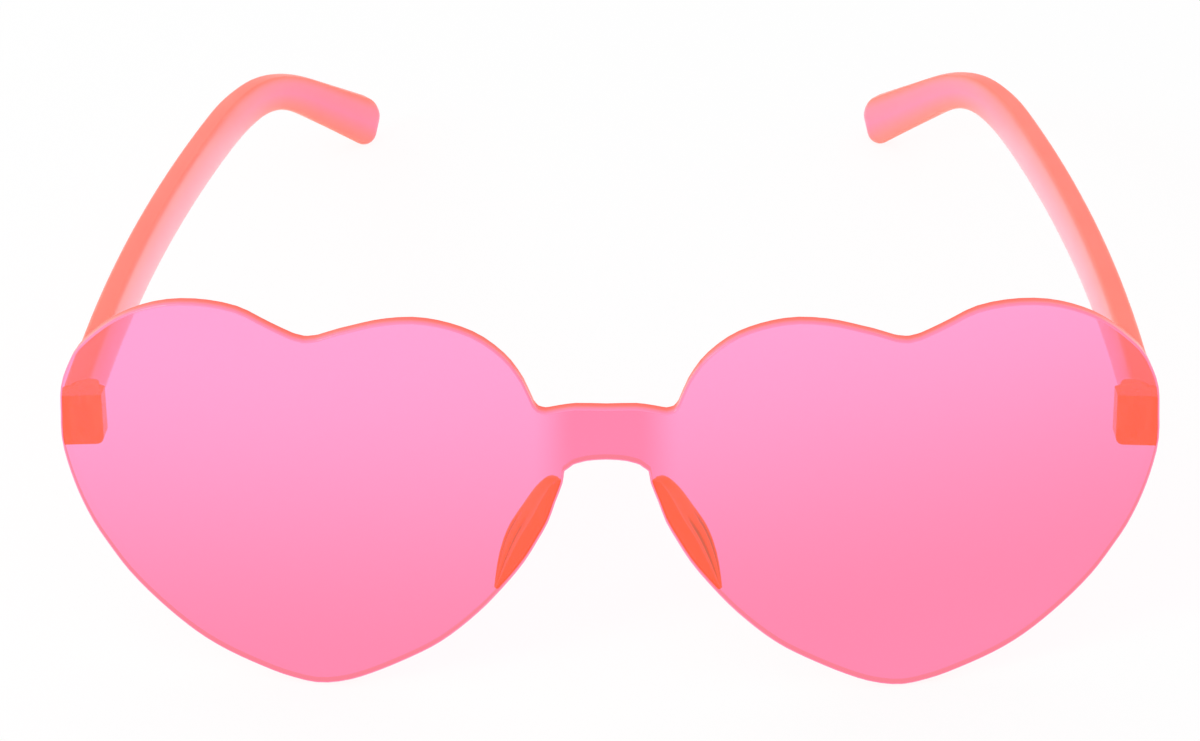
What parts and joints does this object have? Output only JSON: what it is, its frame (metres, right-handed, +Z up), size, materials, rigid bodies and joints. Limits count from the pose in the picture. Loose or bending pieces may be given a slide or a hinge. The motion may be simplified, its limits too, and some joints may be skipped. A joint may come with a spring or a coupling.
{
  "type": "heart shaped sunglasses",
  "caption": "Rimless sunglasses whose curved pink lens sheet is cut as hearts joined by a bridge, with folding see-through temples and moulded nose pads.",
  "frame": {"origin": "centre of the bounding box on the table that the glasses stand on, with their two heart points and two temple tips touching it", "axes": "+X towards the wearer's left (image right), front of the lens towards -Y, temples towards +Y, +Z up; the lens leans back 8.6 degrees from upright"},
  "size_m": [0.1488, 0.1486, 0.0575],
  "materials": {
    "lens_sheet": "polished, see-through tint",
    "nose_pad": "smooth, translucent",
    "end_block": "smooth, translucent",
    "temple": "smooth, translucent",
    "hinge_screw": "satin"
  },
  "bodies": {
    "front": {"lens_shield": "lens_sheet", "right_nose_pad": "nose_pad", "left_nose_pad": "nose_pad", "right_end_block": "end_block", "left_end_block": "end_block", "right_hinge_screw": "hinge_screw", "left_hinge_screw": "hinge_screw"},
    "right_temple_arm": {"right_temple": "temple"},
    "left_temple_arm": {"left_temple": "temple"}
  },
  "joints": [
    {"name": "right_temple_hinge", "type": "hinge", "parent": "front", "child": "right_temple_arm", "pos_m": [-0.07065, -0.05806, 0.03674], "axis": [0, -0.1492, -0.9888], "range_deg": [0, 59]},
    {"name": "left_temple_hinge", "type": "hinge", "parent": "front", "child": "left_temple_arm", "pos_m": [0.07065, -0.05806, 0.03674], "axis": [0, 0.1492, 0.9888], "range_deg": [0, 80]}
  ]
}
